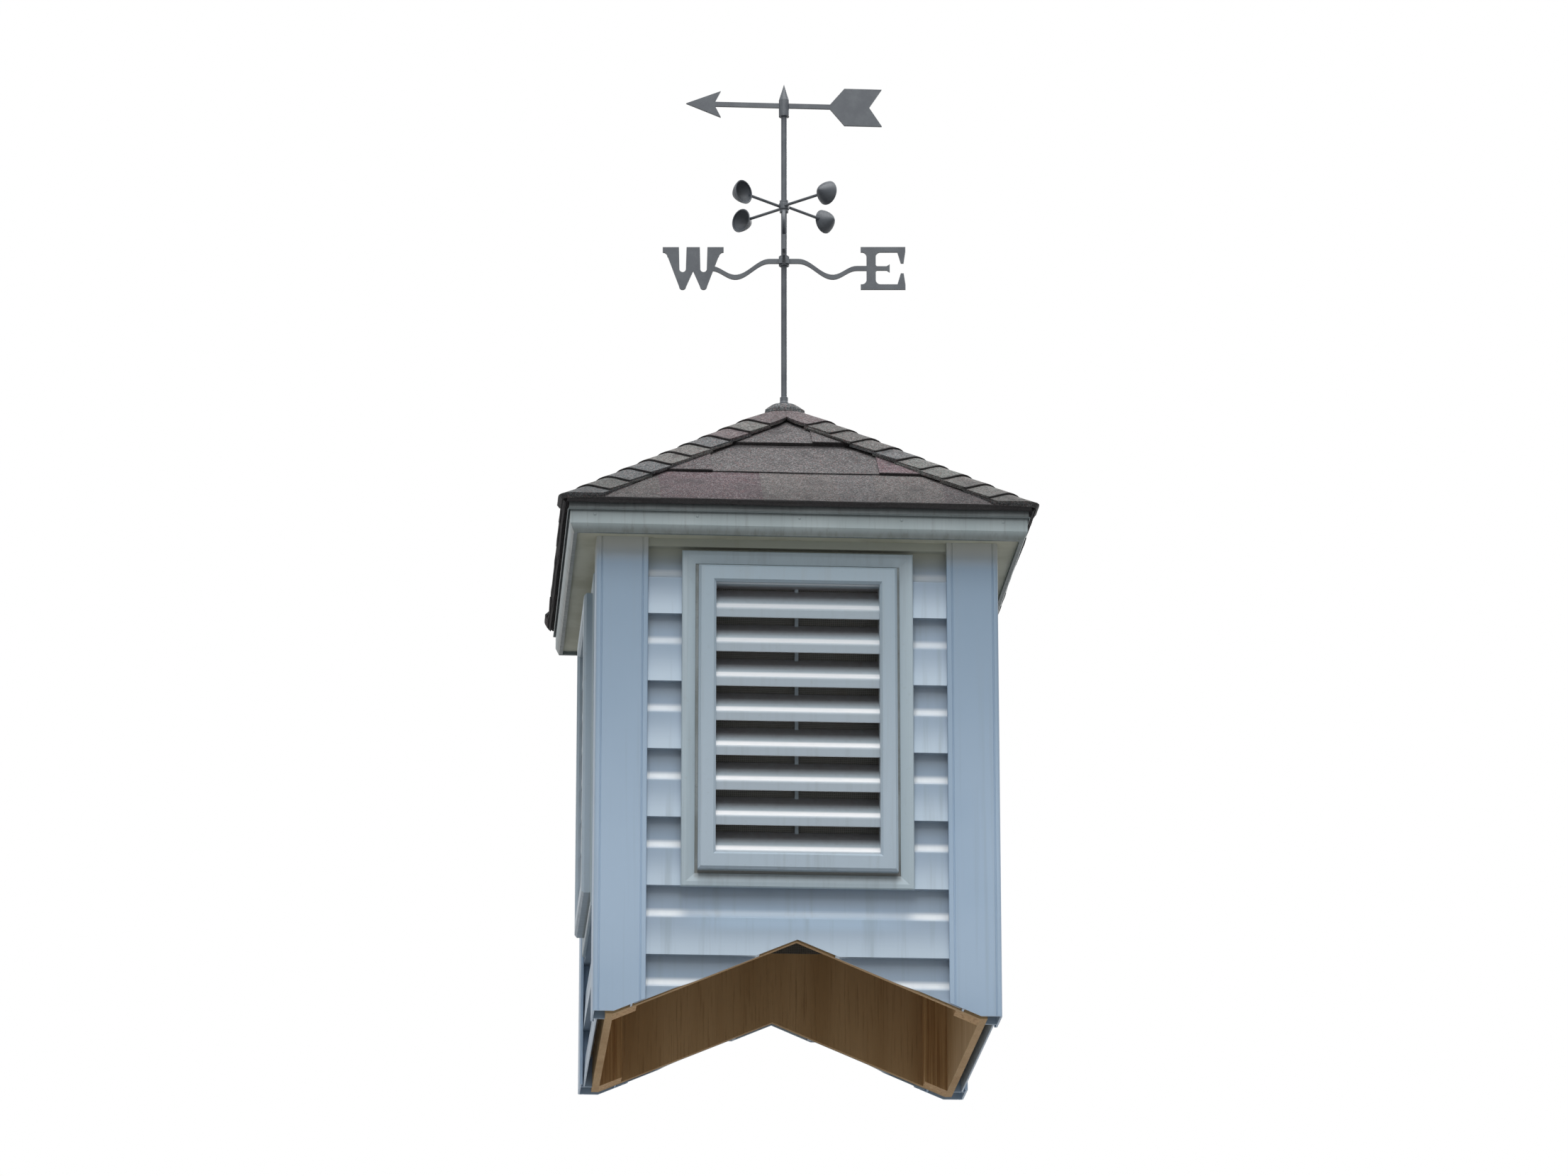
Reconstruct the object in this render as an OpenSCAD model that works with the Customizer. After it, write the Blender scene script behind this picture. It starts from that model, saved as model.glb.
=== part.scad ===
// Garage cupola: a square louvred cupola with a hipped shingle roof and a weathervane.
// Origin at the centre of the body, level with the feet of the side walls. The front faces -Y.

/* [Body] */
// Width of the body over its corner posts
body_w = 660; // [560:10:860]
// Height from the feet of the side walls to the soffit
body_h = 795; // [700:5:1100]
// Rise in 12 of the ridge that the front and back walls straddle
saddle_rise = 5; // [2:0.5:8]
// Thickness of the wall sheathing
sheath_t = 12; // [9:1:19]
// Width of the corner studs
stud_w = 38; // [30:1:50]

/* [Corner posts] */
// Face width of a corner post
post_w = 85; // [70:1:105]
// Room in a corner post's pocket in front of the siding's butt edges
post_room = 3; // [1:0.5:8]
// Wall of the moulded corner posts
post_t = 3; // [2.5:0.5:5]
// Radius of a corner post's outer corner
post_r = 5; // [3:0.5:7]
// Radius of the grooves that set off the beads at a corner post's edges
post_groove = 1.5; // [0.5:0.5:2]
// Width of the bead along each edge of a corner post
post_bead = 9; // [8:0.5:14]
// Depth of the pocket that the siding slips into
post_pocket = 21; // [12:1:30]

/* [Siding] */
// Exposed height of one siding course
siding_exposure = 114.3; // [90:0.1:140]
// Distance from the soffit to the first butt edge
first_butt = 14; // [5:1:80]
// Wall of the siding sheet
siding_t = 2.5; // [1.5:0.5:4]
// Depth of the siding at its butt edge
siding_butt = 16; // [12:0.5:18]
// Depth of the siding just below its cove
siding_face = 13; // [10:0.5:15]
// Height from the top of each course to the shoulder below its cove
cove_h = 52; // [36:1:60]
// Height of the curved part of the cove
cove_curve = 16; // [12:1:24]

/* [Vents] */
// Clear width between the sides of a louvre
louvre_w = 268; // [200:1:320]
// Number of blades
blade_n = 8; // [4:1:10]
// Distance from blade to blade
blade_pitch = 58.4; // [50:0.1:70]
// Height of the flat face at the front of a blade
blade_face = 12; // [8:1:16]
// Outer radius of the bend above a blade's face
blade_bend = 10; // [6:1:14]
// Distance of a blade's back edge below the face of the next blade
blade_back_drop = 3; // [0:0.5:10]
// Wall of the moulded louvre
louvre_t = 3; // [2:0.5:4]
// Face width of the louvre's raised frame
louvre_frame_w = 28.5; // [22:0.5:40]
// Width of the groove between the raised frame and the channel trim
vent_groove = 5; // [3:0.5:10]
// Depth of the raised frame in front of the sheathing
louvre_depth = 36; // [30:1:45]
// Distance of the blade faces behind the frame's face
lip_recess = 8; // [4:1:14]
// Width of the channel trim round the louvre
surround_w = 22; // [18:0.5:30]
// Depth of the channel trim in front of the sheathing
surround_depth = 22; // [20:1:28]
// Gap between the soffit and the channel trim
vent_drop = 21.5; // [5:0.5:40]

/* [Roof] */
// Rise of the roof in 12
roof_rise = 9; // [6:0.5:12]
// Distance from the corner posts to the face of the fascia
overhang = 45; // [30:1:90]
// Distance that the shingles stand out from the fascia
shingle_overhang = 10; // [8:1:20]
// Height of the fascia at its face
fascia_h = 40; // [32:1:80]
// Thickness of the fascia
fascia_t = 12; // [10:1:20]
// Thickness of the soffit board
soffit_t = 12; // [8:1:18]
// Distance that the fascia hangs below the soffit board
fascia_drop = 6; // [2:1:12]
// Thickness of the roof deck
deck_t = 12; // [9:1:18]
// Exposure of a shingle course
shingle_exposure = 152; // [120:1:160]
// Height of a shingle course at its butt edge
shingle_butt = 10; // [7:0.5:14]
// Height of a shingle course where the next one covers it
shingle_low = 5; // [3:0.5:6]
// Width of each leg of a hip cap
cap_w = 50; // [35:1:70]
// Exposure of one hip cap
cap_exposure = 56; // [40:1:80]
// Width of the folded cap over the apex
apex_cap_w = 86; // [70:1:120]
// Width of the flat on top of the apex cap
apex_flat = 44; // [30:1:56]

/* [Weathervane] */
// Diameter of the rod
rod_d = 10; // [8:0.5:14]
// Height of the compass hub above the apex
compass_z = 244; // [200:1:320]
// Height of the wind rotor above the apex
rotor_z = 344; // [330:1:420]
// Height of the arrow above the apex
arrow_z = 530; // [480:1:600]
// Reach of the compass arms from the rod to the letters' outer edges
compass_reach = 209; // [190:1:240]
// Height of the compass letters
letter_h = 77; // [70:1:90]
// Turn of the compass arms from the walls
compass_turn = -4; // [-45:1:45]
// Thickness of the compass arms and letters
compass_t = 5; // [3:0.5:8]
// Radius from the rod to the middle of a wind cup
cup_reach = 102; // [80:1:130]
// Radius of a wind cup at its rim
cup_r = 20.5; // [18:0.5:28]
// Depth of a wind cup
cup_depth = 24; // [16:1:30]
// Wall of a wind cup
cup_t = 1.6; // [1:0.1:3]
// Turn of the rotor at rest
rotor_turn = 43; // [0:1:89]
// Length of the arrow
arrow_l = 340; // [260:1:420]
// Radial clearance of the rotor on its rod
rotor_clearance = 0.3; // [0.2:0.05:0.6]

/* [Hidden] */

$fn = 64;
touch = 0.2;
through = 2;

// Plan sizes, measured from the middle of the body
half_w = body_w / 2;
post_depth = siding_butt + post_room + post_t;
sheath_out = half_w - post_depth;
sheath_in = sheath_out - sheath_t;
eave = half_w + overhang;
shingle_half = eave + shingle_overhang;

// The ridge saddle starts at the inner faces of the side walls
saddle_half = sheath_in;
saddle_peak = saddle_half * saddle_rise / 12;

// Vent sizes
open_h = blade_n * blade_pitch - blade_face;
flange_w = louvre_frame_w + vent_groove;
louvre_outer = [louvre_w, open_h] + 2 * [flange_w, flange_w];
trim_outer = louvre_outer + 2 * [surround_w, surround_w];
vent_z = body_h - vent_drop - trim_outer.y / 2;
channel_web = 4.5;
channel_reach = siding_butt + 0.5;
channel_fall = 3;
siding_gap = 3;
wall_hole = [louvre_w, open_h] + 2 * [louvre_t + 1, louvre_t + 1];
screen_t = 1.5;
screen_lap = 15;

// Roof slopes and heights
slope = roof_rise / 12;
pitch = atan(slope);
fascia_z = body_h - fascia_drop;
deck_z = fascia_z + fascia_h;
deck_v = deck_t / cos(pitch);
drip_t = 1;
shingle_v = deck_v + drip_t / cos(pitch);
cap_low = 3;
cap_butt = 6;
apex_cap_t = 5;
cap_v = shingle_v + (shingle_butt + cap_butt) / cos(pitch);
apex_v = cap_v + apex_cap_t / cos(pitch);
apex_z = deck_z + eave * slope + apex_v;
slope_len = shingle_half / cos(pitch);
hip_turn = atan2(slope_len, shingle_half);
hip_len = norm([shingle_half, slope_len]);

// Weathervane sizes
rod_r = rod_d / 2;
socket_r = rod_r + 3;
socket_z = apex_z - apex_flat / 2 * slope;
cap_top_z = socket_z - apex_cap_t;
hub_half = rod_r + 4;
hub_h = 18;
collar_r = rod_r + 2.5;
collar_h = 4;
rotor_hub_r = rod_r + 4;
rotor_hub_h = 12;
rotor_gap = 0.5;
king_r = 30;
king_h = 120;
king_floor = 20;

// Quarter turns that carry the front piece to each side of the cupola
module side(i) {
    rotate([0, 0, 90 * i]) children();
}

// Carries a flat shape drawn on X and Y, standing out along Z, to the front sheathing
module on_wall(i) {
    side(i) translate([0, -sheath_out, vent_z]) rotate([90, 0, 0]) children();
}

// Carries a shape drawn on X, up-slope Y and normal Z to one slope of the roof
module on_slope(i) {
    side(i)
        translate([0, -shingle_half, deck_z - shingle_overhang * slope + shingle_v])
            rotate([pitch, 0, 0]) children();
}

// The inverted V that lets the front and back straddle a ridge
module saddle_cut() {
    rotate([90, 0, 0])
        linear_extrude(2 * half_w + 2 * through, center = true)
            polygon([
                [-saddle_half, 0], [-saddle_half, -through], [saddle_half, -through],
                [saddle_half, 0], [0, saddle_peak]
            ]);
}

// The plan quarter that one side of the roof fills, between its two hips
module roof_quarter(z0, z1, reach) {
    translate([0, 0, z0])
        linear_extrude(z1 - z0)
            polygon([[0, 0], [-reach, -reach], [reach, -reach]]);
}

// A square pyramid under the roof planes, raised by rise above the underside of the deck
module roof_solid(rise) {
    top = deck_z + eave * slope + rise;
    low = fascia_z - 50;
    half = (top - low) / slope;
    intersection_for (turn = [0, 90])
        rotate([90, 0, turn])
            linear_extrude(2 * half, center = true)
                polygon([[-half, low], [half, low], [0, top]]);
}

// A mitred square ring: the outline's X runs inward from the outer face, its Y is the height
module square_ring(half, outline) {
    for (i = [0:3])
        side(i)
            intersection() {
                translate([-half - overhang, -half, 0])
                    rotate([90, 0, 90])
                        linear_extrude(2 * (half + overhang)) polygon(outline);
                roof_quarter(0, 2 * body_h, half + overhang);
            }
}

// A mitred frame lying flat: the outline's X runs inward from its edge, its Y stands out
module flat_frame(size, outline, width) {
    reach = 100;
    for (turn = [0:3]) {
        w = turn % 2 == 0 ? size.x : size.y;
        h = turn % 2 == 0 ? size.y : size.x;
        rotate([0, 0, 90 * turn])
            intersection() {
                translate([-w / 2, -h / 2, 0])
                    rotate([90, 0, 90]) linear_extrude(w) polygon(outline);
                translate([0, -h / 2, -reach])
                    linear_extrude(2 * reach)
                        polygon([
                            [-w / 2, 0], [w / 2, 0], [w / 2 - width, width], [-w / 2 + width, width]
                        ]);
            }
    }
}

// Sheathing: the front and back boards cover the ends of the side boards
module wall(i) {
    gable = i % 2 == 0;
    half = gable ? sheath_out : sheath_in;
    color("burlywood")
        side(i)
            difference() {
                translate([-half, -sheath_out, 0]) cube([2 * half, sheath_t, body_h]);
                translate([-wall_hole.x / 2, -sheath_out - through, vent_z - wall_hole.y / 2])
                    cube([wall_hole.x, sheath_t + 2 * through, wall_hole.y]);
                if (gable) saddle_cut();
            }
}

// Studs in the four inner corners, cut to the saddle at the foot
module corner_studs() {
    color("peru")
        difference() {
            for (x = [-1, 1], y = [-1, 1])
                translate([x * (sheath_in - stud_w / 2), y * (sheath_in - stud_w / 2), body_h / 2])
                    cube([stud_w, stud_w, body_h], center = true);
            saddle_cut();
        }
}

// Face of one course as [depth, height], from its top at z down to its butt edge
cove_end = 65;
cove_steps = 6;
cove_size = [(siding_face - siding_t) / (1 - cos(cove_end)), cove_curve / sin(cove_end)];
function cove_turn(k) = cove_end * k / cove_steps;
function cove_point(a, z) = [
    siding_t + cove_size.x * (1 - cos(a)),
    z - cove_h + cove_curve - cove_size.y * sin(a)
];
function cove_normal(a) = let (n = [cove_size.y * cos(a), cove_size.x * sin(a)]) n / norm(n);
function course_face(z) = concat(
    [[siding_t, z]],
    [for (k = [0:cove_steps]) cove_point(cove_turn(k), z)],
    [[siding_butt, z - siding_exposure]]
);
// Back of the same course, one sheet thickness behind its face
function course_back(z) = concat(
    [for (k = [0:cove_steps - 1]) let (a = cove_turn(k))
        cove_point(a, z) - siding_t * cove_normal(a)],
    [
        [siding_face - siding_t, z - cove_h - siding_t],
        [siding_butt - siding_t, z - siding_exposure + siding_t],
        [0, z - siding_exposure + siding_t]
    ]
);
function reversed(list) = [for (k = [len(list) - 1:-1:0]) list[k]];

// Lap siding: one sheet with a cove and a butt edge on each course
module siding(i) {
    half = half_w - post_w + post_pocket - siding_gap;
    courses = ceil((body_h - first_butt) / siding_exposure);
    tops = [for (k = [0:courses]) body_h - first_butt + siding_exposure * (1 - k)];
    face = [for (z = tops) each course_face(z)];
    back = [for (z = tops) each course_back(z)];
    hole = trim_outer - 2 * [1, 1] * (surround_w - channel_web - siding_gap);
    color("aliceblue")
        side(i)
            difference() {
                intersection() {
                    translate([half, -sheath_out, 0])
                        rotate([90, 0, -90])
                            linear_extrude(2 * half)
                                polygon(concat(face, reversed(back), [[0, tops[0]]]));
                    translate([-half, -half_w - through, 0])
                        cube([2 * half, post_depth + 2 * through, body_h]);
                }
                translate([-hole.x / 2, -half_w - 2 * through, vent_z - hole.y / 2])
                    cube([hole.x, post_depth + 4 * through, hole.y]);
                if (i % 2 == 0) saddle_cut();
            }
}

// Section of one leg of a corner post, its corner at the origin
module post_leg() {
    lip = post_room + post_t - 1;
    edge_r = 2;
    difference() {
        union() {
            square([post_w, post_t]);
            translate([post_w - post_t, 0]) square([post_t, lip]);
            translate([post_w - post_pocket - post_t, 0]) square([post_t, post_depth]);
        }
        translate([post_w, 0]) mirror([1, 0]) rounding(edge_r);
        for (x = [post_bead, post_w - post_bead]) translate([x, 0]) circle(post_groove);
    }
}

// What rounding off a square corner at the origin takes away, or a bracket in it adds
module rounding(r) {
    difference() {
        translate([-1, -1]) square(r + 1);
        translate([r, r]) circle(r);
    }
}

// Corner post: a moulded angle with lips that hold the ends of the siding
module corner_post(i) {
    color("white")
        difference() {
            side(i)
                translate([-half_w, -half_w, 0])
                    linear_extrude(body_h)
                        difference() {
                            union() {
                                post_leg();
                                mirror([1, -1]) post_leg();
                            }
                            rounding(post_r);
                        }
            saddle_cut();
        }
}

// Channel trim round a louvre, open towards the siding, its face falling towards the louvre
module vent_trim(i) {
    bead = 8;
    color("white")
        on_wall(i)
            flat_frame(trim_outer, [
                [0, channel_reach], [0, surround_depth - 1.5], [1.5, surround_depth],
                [bead, surround_depth], [surround_w, surround_depth - channel_fall], [surround_w, 0],
                [surround_w - channel_web, 0],
                [surround_w - channel_web, surround_depth - channel_fall - post_t],
                [bead, surround_depth - post_t],
                [post_t, surround_depth - post_t], [post_t, channel_reach]
            ], surround_w);
}

// Section of a blade as [distance in from its face, height]: a flat face, a bend and a plate
function blade_section(depth, rise) =
    let (
        to_back = [depth - blade_bend, rise - blade_face],
        turn = 180 - atan2(to_back.y, to_back.x) - acos(blade_bend / norm(to_back)),
        steps = 5,
        arc = function(r) [for (k = [0:steps])
            [blade_bend - r * cos(turn * k / steps), blade_face + r * sin(turn * k / steps)]],
        across = louvre_t * [-cos(turn), sin(turn)]
    )
    concat(
        [[louvre_t, 0], [0, 0]], arc(blade_bend), [[depth, rise], [depth, rise] - across],
        reversed(arc(blade_bend - louvre_t))
    );

// Louvre: flange, raised frame, sloping blades, and a rib down the back of the blades
module louvre(i) {
    bevel = 4;
    w = flange_w;
    g = vent_groove;
    d = louvre_depth;
    t = louvre_t;
    face_v = louvre_depth - lip_recess;
    back_v = t - sheath_t;
    rib_w = 6;
    blade = blade_section(face_v - back_v, blade_pitch - blade_back_drop);
    color("white")
        on_wall(i) {
            flat_frame(louvre_outer, [
                [0, 0], [0, t], [g, t], [g, d - bevel], [g + bevel, d],
                [w - bevel, d], [w, d - bevel], [w, -sheath_t], [w - t, -sheath_t],
                [w - t, d - bevel - t / 2], [w - bevel - t / 2, d - t],
                [g + bevel + t / 2, d - t], [g + t, d - bevel - t / 2], [g + t, 0]
            ], w);
            intersection() {
                for (k = [0:blade_n - 1])
                    translate([-louvre_w / 2 - t / 2, k * blade_pitch - open_h / 2 - blade_face, face_v])
                        rotate([0, 90, 0]) linear_extrude(louvre_w + t) polygon(blade);
                translate([-louvre_w / 2 - t / 2, -open_h / 2 - t / 2, -sheath_t])
                    cube([louvre_w + t, open_h + t, sheath_t + d]);
            }
            translate([-rib_w / 2, -open_h / 2 - t / 2, -sheath_t])
                cube([rib_w, open_h + t, 2 * t - 1]);
        }
}

// Insect screens, one inside each wall, over the hole
module insect_screens() {
    size = wall_hole + 2 * [screen_lap, screen_lap];
    color("dimgray")
        for (i = [0:3])
            side(i)
                translate([-size.x / 2, -sheath_in, vent_z - size.y / 2])
                    cube([size.x, screen_t, size.y]);
}

// Soffit board: a ring that stands on the walls and closes the eaves
module soffit() {
    inner = sheath_in - stud_w;
    outer = eave - fascia_t;
    color("white")
        translate([0, 0, body_h])
            linear_extrude(soffit_t)
                difference() {
                    square(2 * outer, center = true);
                    square(2 * inner, center = true);
                }
}

// Fascia: wrapped board with its lower lip bent back, its top cut to the slope
module fascia() {
    set_back = 6;
    lip = 14;
    color("white")
        intersection() {
            square_ring(eave, [
                [set_back, fascia_z], [fascia_t, fascia_z], [fascia_t, deck_z + fascia_t],
                [0, deck_z + fascia_t], [0, fascia_z + lip]
            ]);
            roof_solid(0);
        }
}

// Drip edge: bent metal strip over the fascia and up the deck, under the shingles
module drip_edge() {
    face = 2;
    kick = 2.5;
    leg = 60;
    drop = deck_v + 1;
    top = deck_z + deck_v;
    color("white")
        square_ring(eave, [
            [0, top], [leg, top + leg * slope], [leg, top + leg * slope + drip_t / cos(pitch)],
            [-face, top - face * slope + drip_t / cos(pitch)], [-face, top - drop],
            [-face - kick, top - drop - kick], [1 - face - kick, top - drop - kick - 1],
            [0, top - drop]
        ]);
}

// Roof frame: hip rafters that meet on a king block, which holds the rod
module roof_frame() {
    rafter_t = 19;
    rafter_h = 70;
    inner = eave - fascia_t;
    foot = inner * sqrt(2);
    hip_z = deck_z + eave * slope;
    fall = slope / sqrt(2);
    color("peru")
        difference() {
            intersection() {
                union() {
                    for (turn = [45, 135])
                        rotate([90, 0, turn])
                            linear_extrude(rafter_t, center = true)
                                for (m = [0, 1])
                                    mirror([m, 0])
                                        polygon([
                                            [0, hip_z - rafter_h], [0, hip_z],
                                            [foot, hip_z - foot * fall],
                                            [foot, body_h + soffit_t],
                                            [(hip_z - rafter_h - body_h - soffit_t) / fall,
                                                body_h + soffit_t]
                                        ]);
                    translate([-king_r, -king_r, hip_z - king_h]) cube([2 * king_r, 2 * king_r, king_h]);
                }
                roof_solid(0);
                translate([-inner, -inner, body_h]) cube([2 * inner, 2 * inner, body_h]);
            }
            translate([0, 0, hip_z - king_h + king_floor]) cylinder(r = rod_r + touch, h = king_h);
        }
}

// Roof deck: boards on the rafters, mitred on the hips
module roof_deck() {
    color("burlywood")
        difference() {
            intersection() {
                roof_solid(deck_v);
                translate([-eave, -eave, deck_z - through]) cube([2 * eave, 2 * eave, body_h]);
            }
            roof_solid(0);
            cylinder(r = rod_r + touch, h = 2 * body_h);
        }
}

// Stepped outline of overlapping courses as [distance up the slope, height off the deck]
function stepped(count, exposure, low, high, length, base) = concat(
    [[0, base]],
    [for (k = [0:count - 1]) each [
        [k * exposure, base + high],
        [min((k + 1) * exposure, length), base + low]
    ]],
    [[length, base]]
);

// Shingle courses on one slope, mitred on the hips
module shingles(i) {
    count = ceil(slope_len / shingle_exposure);
    color("rosybrown")
        intersection() {
            on_slope(i)
                rotate([90, 0, 90])
                    linear_extrude(2 * shingle_half, center = true)
                        polygon(stepped(
                            count, shingle_exposure, shingle_low, shingle_butt, slope_len, 0
                        ));
            side(i)
                difference() {
                    roof_quarter(body_h, 2 * body_h, 2 * shingle_half);
                    cylinder(r = rod_r + touch, h = 2 * body_h);
                }
        }
}

// One leg of a row of hip caps, on the left edge of the front slope
module cap_leg() {
    count = ceil(hip_len / cap_exposure);
    intersection() {
        on_slope(0)
            translate([-shingle_half, 0, 0])
                rotate([0, 0, hip_turn])
                    translate([0, cap_w, 0])
                        rotate([90, 0, 0])
                            linear_extrude(2 * cap_w)
                                polygon(stepped(
                                    count, cap_exposure, cap_low, cap_butt, hip_len, shingle_butt
                                ));
        roof_quarter(body_h, 2 * body_h, 2 * shingle_half);
        translate([-shingle_half, -shingle_half, 0])
            cube([shingle_half, shingle_half, 2 * body_h]);
    }
}

// A row of overlapping folded caps on one hip, from the eave to the apex
module hip_caps(i) {
    color("dimgray")
        side(i)
            difference() {
                union() {
                    cap_leg();
                    mirror([1, -1, 0]) cap_leg();
                }
                cylinder(r = rod_r + touch, h = 2 * body_h);
                translate([-half_w, -half_w, cap_top_z]) cube([2 * half_w, 2 * half_w, body_h]);
            }
}

// Cap folded over the cut ends of the hip caps, with a flat for the rod's socket
module apex_cap() {
    inner = apex_cap_w / 2 + through;
    color("dimgray")
        difference() {
            intersection() {
                roof_solid(apex_v);
                translate([-apex_cap_w / 2, -apex_cap_w / 2, body_h])
                    cube([apex_cap_w, apex_cap_w, socket_z - body_h]);
            }
            intersection() {
                roof_solid(cap_v);
                translate([-inner, -inner, 0]) cube([2 * inner, 2 * inner, cap_top_z]);
            }
            cylinder(r = rod_r + touch, h = 2 * body_h);
        }
}

// Rod with two collars that keep the rotor in place
module rod() {
    foot_z = deck_z + eave * slope - king_h + king_floor;
    hub_low = apex_z + rotor_z - rotor_hub_h / 2;
    color("dimgray") {
        translate([0, 0, foot_z]) cylinder(r = rod_r, h = apex_z + arrow_z - foot_z);
        translate([0, 0, hub_low - rotor_gap - collar_h]) cylinder(r = collar_r, h = collar_h);
        translate([0, 0, hub_low + rotor_hub_h + rotor_gap]) cylinder(r = collar_r, h = collar_h);
    }
}

// Turned socket on the apex cap
module rod_socket() {
    neck_r = socket_r - 1;
    top = 14;
    color("dimgray")
        translate([0, 0, socket_z])
            rotate_extrude()
                polygon([
                    [rod_r + touch, 0], [socket_r, 0], [socket_r, 3],
                    [neck_r, 6], [neck_r, top - 1], [neck_r - 1, top], [rod_r + touch, top]
                ]);
}

// Square hub that carries the four compass arms
module compass_hub() {
    color("dimgray")
        translate([0, 0, apex_z + compass_z])
            rotate([0, 0, compass_turn]) difference() {
                union() {
                    cube([2 * hub_half, 2 * hub_half, hub_h - 6], center = true);
                    cylinder(r = hub_half - 1, h = hub_h, center = true);
                }
                cylinder(r = rod_r + touch, h = 2 * hub_h, center = true);
            }
}

// Wave of a compass arm: level at the hub, a dip, then a rise to the letter
arm_level = 25;
arm_dip_r = 84;
arm_end_r = 125;
arm_dip = 29;
arm_end = 13;
function eased(x, x0, x1) = (1 - cos(180 * min(max((x - x0) / (x1 - x0), 0), 1))) / 2;
function arm_z(r) = -arm_dip * eased(r, arm_level, arm_dip_r)
    + (arm_dip - arm_end) * eased(r, arm_dip_r, arm_end_r);

// Flat outline of an arm from the hub to a reach, drawn on X and Y
module arm_outline(reach) {
    half = 4;
    steps = 28;
    radii = [for (k = [0:steps]) hub_half + (reach - hub_half) * k / steps];
    lower = [for (r = radii) [r, arm_z(r) - half]];
    upper = [for (r = radii) [r, arm_z(r) + half]];
    polygon(concat(lower, reversed(upper)));
}

// A straight stroke of a letter from one point to another
module stroke(a, b, w) {
    along = b - a;
    across = [-along.y, along.x] * w / 2 / norm(along);
    polygon([a + across, a - across, b - across, b + across]);
}

// Letter outlines from their lower left corners: thick stems with bracketed serifs
stem_w = 16;
thin_w = 12;
serif_h = 9;
bracket_r = 8;
letter_e_w = 77;
letter_n_w = 90;
letter_s_w = (letter_h + stem_w) / 2 + 6;
letter_w_w = 105;

// A serif from x0 to x1 at the foot of a stem that runs from stem0 to stem1
module serif(x0, x1, stem0, stem1) {
    translate([x0, 0]) square([x1 - x0, serif_h]);
    if (stem0 > x0) translate([stem0, serif_h]) mirror([1, 0]) rounding(min(bracket_r, stem0 - x0));
    if (stem1 < x1) translate([stem1, serif_h]) rounding(min(bracket_r, x1 - stem1));
}

// The same serif at the head of a stem
module head_serif(x0, x1, stem0, stem1) {
    translate([0, letter_h]) mirror([0, 1]) serif(x0, x1, stem0, stem1);
}

// The letter E: a stem between two long bars with tapered ends, and a short bar in the middle
module letter_e() {
    left = 10;
    right = left + stem_w;
    tip = 29;
    bar = 50;
    bar_h = 7;
    translate([left, 0]) square([stem_w, letter_h]);
    for (m = [0, 1])
        translate([0, m * letter_h])
            mirror([0, m]) {
                serif(0, letter_e_w, left, right);
                polygon([
                    [letter_e_w - 14, serif_h - 1], [letter_e_w, serif_h - 1],
                    [letter_e_w - 3, tip], [letter_e_w - 8, tip]
                ]);
            }
    translate([left, (letter_h - bar_h) / 2]) square([bar - left, bar_h]);
    for (m = [0, 1]) translate([right, letter_h / 2]) mirror([0, m]) translate([0, bar_h / 2]) rounding(3);
    translate([bar - 6, letter_h / 2]) polygon([[0, -3], [6, -7], [6, 7], [0, 3]]);
}

// The letter N: two thin stems and a thick diagonal
module letter_n() {
    left = 10;
    right = letter_n_w - left;
    for (x = [left, right - thin_w]) translate([x, 0]) square([thin_w, letter_h]);
    intersection() {
        square([letter_n_w, letter_h]);
        stroke([left + 6, letter_h - 2], [right - 6, 2], stem_w);
    }
    serif(0, 2 * left + thin_w, left, left + thin_w);
    head_serif(letter_n_w - 2 * left - thin_w, letter_n_w, right - thin_w, right);
    head_serif(0, left + thin_w, left, left + thin_w);
}

// The letter W: a tapered blank on two round feet, less two round-ended slots and a notch below
module letter_w() {
    middle = letter_w_w / 2;
    foot = 18;
    foot_r = 6;
    shoulder = 6;
    slot_r = 5.5;
    slot_z = 37;
    notch_z = 34;
    under = letter_h - serif_h;
    difference() {
        union() {
            polygon([
                [shoulder, under], [middle - foot - foot_r, foot_r],
                [middle + foot + foot_r, foot_r], [letter_w_w - shoulder, under]
            ]);
            for (x = [middle - foot, middle + foot]) translate([x, foot_r]) circle(foot_r);
            head_serif(0, letter_w_w, shoulder + 2, letter_w_w - shoulder - 2);
        }
        for (x = [middle - foot, middle + foot])
            translate([x, slot_z]) {
                circle(slot_r);
                polygon([[-slot_r, 0], [slot_r, 0], [slot_r + 2, letter_h], [-slot_r - 2, letter_h]]);
            }
        polygon([
            [middle - foot + foot_r, foot_r - touch], [middle, notch_z],
            [middle + foot - foot_r, foot_r - touch]
        ]);
    }
}

// The letter S: two rings, each short of a quarter, with an upright serif at each end
module letter_s() {
    r = (letter_h + stem_w) / 4;
    tip = 26;
    for (m = [0, 1])
        translate([letter_s_w / 2, letter_h / 2])
            rotate(180 * m) {
                translate([0, r - stem_w / 2])
                    difference() {
                        circle(r);
                        circle(r - stem_w);
                        translate([0, -2 * r]) square([2 * r, 2 * r]);
                    }
                translate([r, letter_h / 2])
                    polygon([[-8, -serif_h], [3, 0], [3, -tip], [-2, -tip]]);
            }
}

// A compass arm with its letter, cut from plate, a number of quarter turns from the one for E
module compass_arm(quarters, reach) {
    rotate([0, 0, compass_turn + 90 * quarters])
        translate([0, compass_t / 2, apex_z + compass_z])
            rotate([90, 0, 0]) {
                linear_extrude(compass_t) arm_outline(reach);
                linear_extrude(compass_t) translate([0, -arm_end - letter_h / 2]) children();
            }
}

module compass_east() {
    color("dimgray")
        compass_arm(0, compass_reach - letter_e_w + 20)
            translate([compass_reach - letter_e_w, 0]) letter_e();
}

module compass_north() {
    color("dimgray")
        compass_arm(1, compass_reach - letter_n_w + 16)
            translate([compass_reach - letter_n_w, 0]) letter_n();
}

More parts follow.
